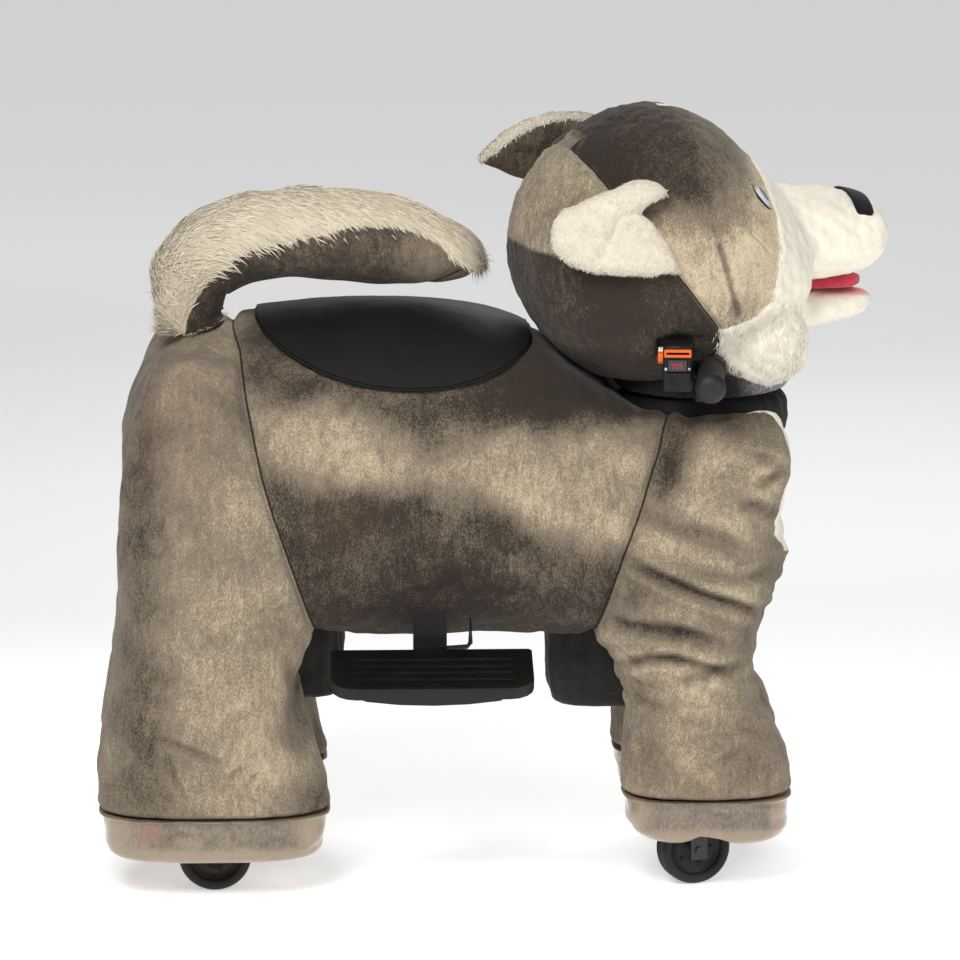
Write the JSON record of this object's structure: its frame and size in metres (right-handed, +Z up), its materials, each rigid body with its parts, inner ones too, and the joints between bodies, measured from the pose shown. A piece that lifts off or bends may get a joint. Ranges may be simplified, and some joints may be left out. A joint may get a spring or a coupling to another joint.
{
  "type": "coin-operated animal ride",
  "caption": "Rideable plush dog on a steered, battery-driven chassis, with a saddle, footrests, handlebar and coin unit.",
  "frame": {"origin": "on the floor, under the middle of the bounding box", "axes": "+X forward, the way the animal looks; +Y to the animal's left; +Z up"},
  "size_m": [0.9898, 0.5624, 0.9559],
  "materials": {
    "grey_plush": "short-pile plush over foam",
    "white_plush": "white plush over foam",
    "shoe_film": "plush in clear glossy film",
    "dark_cloth": "black cloth",
    "knit_grey": "knitted rib",
    "seat_vinyl": "matte black leatherette over foam",
    "tongue_red": "red felt",
    "black_steel": "black powder coat",
    "bright_steel": "bare steel",
    "zinc": "zinc plated",
    "battery_grey": "moulded case",
    "black_plastic": "textured moulding",
    "orange_plastic": "gloss",
    "white_plastic": "gloss",
    "nose_black": "black felt",
    "black_rubber": "ribbed rubber",
    "wheel_rubber": "solid rubber"
  },
  "bodies": {
    "chassis": {"main_frame": "black_steel", "upper_bearing": "bright_steel", "rear_leg_frame_right": "black_steel", "rear_leg_frame_left": "black_steel", "front_leg_frame_right": "black_steel", "front_leg_frame_left": "black_steel", "battery_tray": "zinc", "battery": "battery_grey", "controller": "black_plastic", "motor_mount": "black_steel", "gear_motor": "zinc", "torso_cover": "grey_plush", "rear_leg_cover_right": "grey_plush", "rear_leg_cover_left": "grey_plush", "front_leg_cover_right": "grey_plush", "front_leg_cover_left": "grey_plush", "rear_shoe_right": "shoe_film", "rear_shoe_left": "shoe_film", "front_shoe_right": "shoe_film", "front_shoe_left": "shoe_film", "steering_cover": "dark_cloth", "drive_cover": "dark_cloth", "saddle": "seat_vinyl", "neck_roll": "dark_cloth", "footrest_right": "black_plastic", "footrest_left": "black_plastic"},
    "steering": {"steering_column": "black_steel", "handlebar": "black_steel", "grip_right": "black_rubber", "grip_left": "black_rubber", "coin_box_shell": "black_plastic", "coin_bezel": "orange_plastic", "timer_display": "black_plastic", "head": "grey_plush", "muzzle": "white_plush", "lower_jaw": "white_plush", "tongue": "tongue_red", "nose": "nose_black", "eye_right": "white_plastic", "eye_left": "white_plastic", "cheek_right": "white_plush", "cheek_left": "white_plush", "ear_right": "grey_plush", "ear_left": "grey_plush", "collar": "knit_grey"},
    "knuckle_right": {"knuckle_right": "black_steel"},
    "knuckle_left": {"knuckle_left": "black_steel"},
    "tie_rod": {"tie_rod": "bright_steel"},
    "front_wheel_right": {"front_wheel_right": "wheel_rubber"},
    "front_wheel_left": {"front_wheel_left": "wheel_rubber"},
    "rear_axle": {"rear_axle": "bright_steel", "rear_wheel_right": "wheel_rubber", "rear_wheel_left": "wheel_rubber"},
    "motor_pinion": {"motor_pinion": "bright_steel"},
    "throttle": {"throttle": "black_plastic"},
    "start_button": {"start_button": "orange_plastic"},
    "music_button": {"music_button": "white_plastic"},
    "cash_door": {"cash_door": "black_plastic"},
    "tail": {"tail": "white_plush"}
  },
  "joints": [
    {"name": "steering_turn", "type": "hinge", "parent": "chassis", "child": "steering", "pos_m": [0.256, 0, 0.56], "axis": [0, 0, 1], "range_deg": [-42, 6]},
    {"name": "right_kingpin_turn", "type": "hinge", "parent": "chassis", "child": "knuckle_right", "pos_m": [0.256, -0.12, 0.2], "axis": [0, 0, 1], "range_deg": [-42, 6]},
    {"name": "left_kingpin_turn", "type": "hinge", "parent": "chassis", "child": "knuckle_left", "pos_m": [0.256, 0.12, 0.2], "axis": [0, 0, 1], "range_deg": [-42, 6]},
    {"name": "tie_rod_turn", "type": "hinge", "parent": "steering", "child": "tie_rod", "pos_m": [0.20845, -0.01545, 0.274], "axis": [0, 0, 1], "range_deg": [-6, 42]},
    {"name": "right_front_wheel_spin", "type": "hinge", "parent": "knuckle_right", "child": "front_wheel_right", "pos_m": [0.24173, -0.12463, 0.045], "axis": [-0.309, 0.9511, 0], "continuous": true},
    {"name": "left_front_wheel_spin", "type": "hinge", "parent": "knuckle_left", "child": "front_wheel_left", "pos_m": [0.24173, 0.11536, 0.045], "axis": [-0.309, 0.9511, 0], "continuous": true},
    {"name": "rear_axle_spin", "type": "hinge", "parent": "chassis", "child": "rear_axle", "pos_m": [-0.349, 0, 0.045], "axis": [0, 1, 0], "continuous": true},
    {"name": "motor_pinion_spin", "type": "hinge", "parent": "chassis", "child": "motor_pinion", "pos_m": [-0.349, 0.03, 0.0828], "axis": [0, 1, 0], "continuous": true},
    {"name": "throttle_turn", "type": "hinge", "parent": "steering", "child": "throttle", "pos_m": [0.25855, -0.14623, 0.63], "axis": [0, 0, 1], "range_deg": [0, 20], "stiffness_Nm_per_rad": 0.15, "springref_deg": -20.05},
    {"name": "start_button_press", "type": "slide", "parent": "steering", "child": "start_button", "axis": [0.9976, -0.0692, 0], "range_m": [0, 0.003], "stiffness_N_per_m": 250, "springref_m": -0.003},
    {"name": "music_button_press", "type": "slide", "parent": "steering", "child": "music_button", "axis": [0.9976, -0.0692, 0], "range_m": [0, 0.003], "stiffness_N_per_m": 250, "springref_m": -0.003},
    {"name": "cash_door_swing", "type": "hinge", "parent": "steering", "child": "cash_door", "pos_m": [0.22889, -0.20532, 0.6475], "axis": [0, 0, 1], "range_deg": [0, 100]},
    {"name": "tail_swing", "type": "hinge", "parent": "chassis", "child": "tail", "pos_m": [-0.362, 0, 0.676], "axis": [0, 0, 1], "range_deg": [-30, 30], "stiffness_Nm_per_rad": 2}
  ],
  "couplings": [
    {"joint": "right_kingpin_turn", "follows": "steering_turn", "ratio": 1},
    {"joint": "left_kingpin_turn", "follows": "steering_turn", "ratio": 1},
    {"joint": "tie_rod_turn", "follows": "steering_turn", "ratio": -1},
    {"joint": "motor_pinion_spin", "follows": "rear_axle_spin", "ratio": -2.5}
  ]
}
